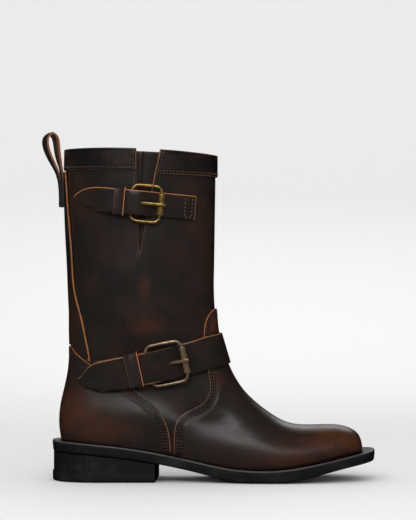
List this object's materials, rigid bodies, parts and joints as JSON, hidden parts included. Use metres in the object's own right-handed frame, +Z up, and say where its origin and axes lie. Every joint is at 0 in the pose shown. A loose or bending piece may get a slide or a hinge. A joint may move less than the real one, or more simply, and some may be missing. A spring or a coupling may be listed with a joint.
{
  "type": "motorcycle boot",
  "caption": "Right motorcycle boot in dark burnished leather with a pull loop, a buckled strap over a gusseted slit, a buckled instep strap, a welted sole and a block heel.",
  "frame": {"origin": "middle of the boot's length and width, on the floor it stands on", "axes": "+X towards the toe, +Z up, -Y towards the outer side with the buckles"},
  "size_m": [0.3019, 0.1103, 0.3123],
  "materials": {
    "upper_leather": "burnished dark brown leather, satin gloss, paler raw edges",
    "vamp_leather": "burnished dark brown leather, satin gloss, paler raw edges",
    "counter_leather": "burnished dark brown leather, satin gloss, paler raw edges",
    "stay_leather": "burnished dark brown leather, satin gloss, paler raw edges",
    "band_leather": "burnished dark brown leather, satin gloss, paler raw edges",
    "gusset_leather": "burnished dark brown leather, satin gloss, paler raw edges",
    "loop_leather": "burnished dark brown leather, satin gloss, paler raw edges",
    "strap_leather": "burnished dark brown leather, satin gloss, paler raw edges",
    "top_brass": "antique brass, worn satin",
    "instep_brass": "antique brass, worn satin",
    "welt_black": "black edge dressing, satin",
    "sole_black": "black edge dressing, satin",
    "heel_black": "black edge dressing, satin",
    "lift_rubber": "black rubber, satin",
    "insole_leather": "plain tan leather, matt"
  },
  "bodies": {
    "root": {"upper": "upper_leather", "vamp": "vamp_leather", "heel_counter": "counter_leather", "back_stay": "stay_leather", "collar_band": "band_leather", "gusset": "gusset_leather", "pull_loop": "loop_leather", "top_strap": "strap_leather", "top_chape": "strap_leather", "top_keeper": "strap_leather", "instep_strap": "strap_leather", "instep_chape": "strap_leather", "instep_keeper": "strap_leather", "top_buckle_frame": "top_brass", "top_buckle_roller": "top_brass", "top_buckle_prong": "top_brass", "instep_buckle_frame": "instep_brass", "instep_buckle_roller": "instep_brass", "instep_buckle_prong": "instep_brass", "welt": "welt_black", "outsole": "sole_black", "heel_block": "heel_black", "heel_top_lift": "lift_rubber", "insole": "insole_leather"}
  },
  "joints": []
}
